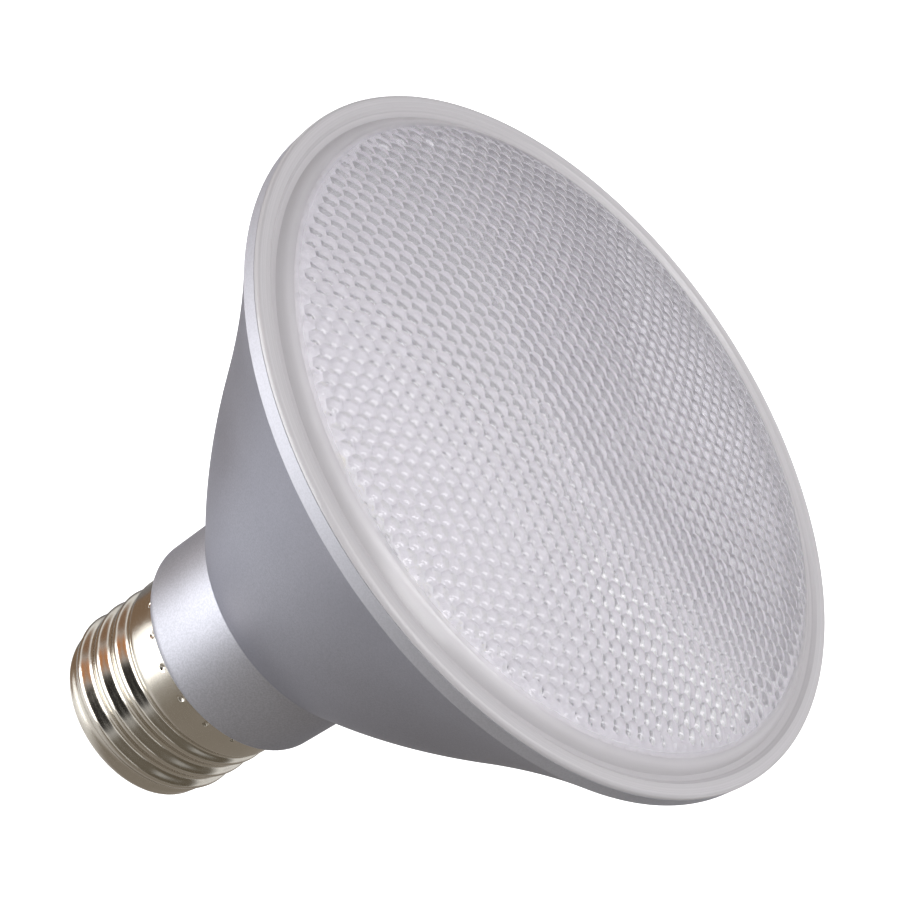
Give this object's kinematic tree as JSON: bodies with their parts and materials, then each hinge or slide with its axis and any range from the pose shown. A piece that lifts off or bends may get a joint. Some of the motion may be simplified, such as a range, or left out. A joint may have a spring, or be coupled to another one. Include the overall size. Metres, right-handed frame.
{
  "type": "par spotlight bulb",
  "caption": "Reflector spotlight bulb with a screw cap, a short neck, a flared silver cone and a domed clear lens moulded with hexagonal pillows that spread the beam.",
  "frame": {"origin": "centre of the flat tip of the centre contact, on the lamp's axis", "axes": "+Z along the lamp's axis from the screw cap to the lens; the lens's rows of cells run along X; the driver board stands across Y"},
  "size_m": [0.0952, 0.0952, 0.092],
  "materials": {
    "contact": "plain turned brass",
    "insulator": "smooth black moulding",
    "nickel": "bright nickel plate on thin pressed brass",
    "neck_paint": "satin metallic silver paint on moulded plastic",
    "circuit_board": "green lacquered circuit board",
    "ferrite": "dull grey ferrite",
    "winding_tape": "yellow tape over wire",
    "can_sleeve": "shrunk dark sleeve on a can",
    "film_case": "dipped glossy coat",
    "black_moulding": "black moulded package",
    "resistor_coat": "flameproof coat",
    "live_wire": "insulated wire",
    "neutral_wire": "insulated wire",
    "silver_paint": "satin metallic silver paint on cast aluminium",
    "light_board": "white lacquer on an aluminium board",
    "chip": "white package with a yellow window",
    "screw": "zinc plated",
    "reflector": "smooth pale moulding",
    "lens": "clear moulding with a pillowed face"
  },
  "bodies": {
    "root": {"centre_contact": "contact", "base_insulator": "insulator", "screw_shell": "nickel", "driver_cup": "neck_paint", "driver_board": "circuit_board", "transformer_core": "ferrite", "transformer_winding": "winding_tape", "bulk_capacitor": "can_sleeve", "film_capacitor": "film_case", "bridge_rectifier": "black_moulding", "driver_chip": "black_moulding", "fuse_resistor": "resistor_coat", "live_lead": "live_wire", "neutral_lead": "neutral_wire", "led_leads": "neutral_wire", "housing_cone": "silver_paint", "led_board": "light_board", "led_chips": "chip", "board_screws": "screw", "reflector": "reflector", "lens": "lens"}
  },
  "joints": []
}
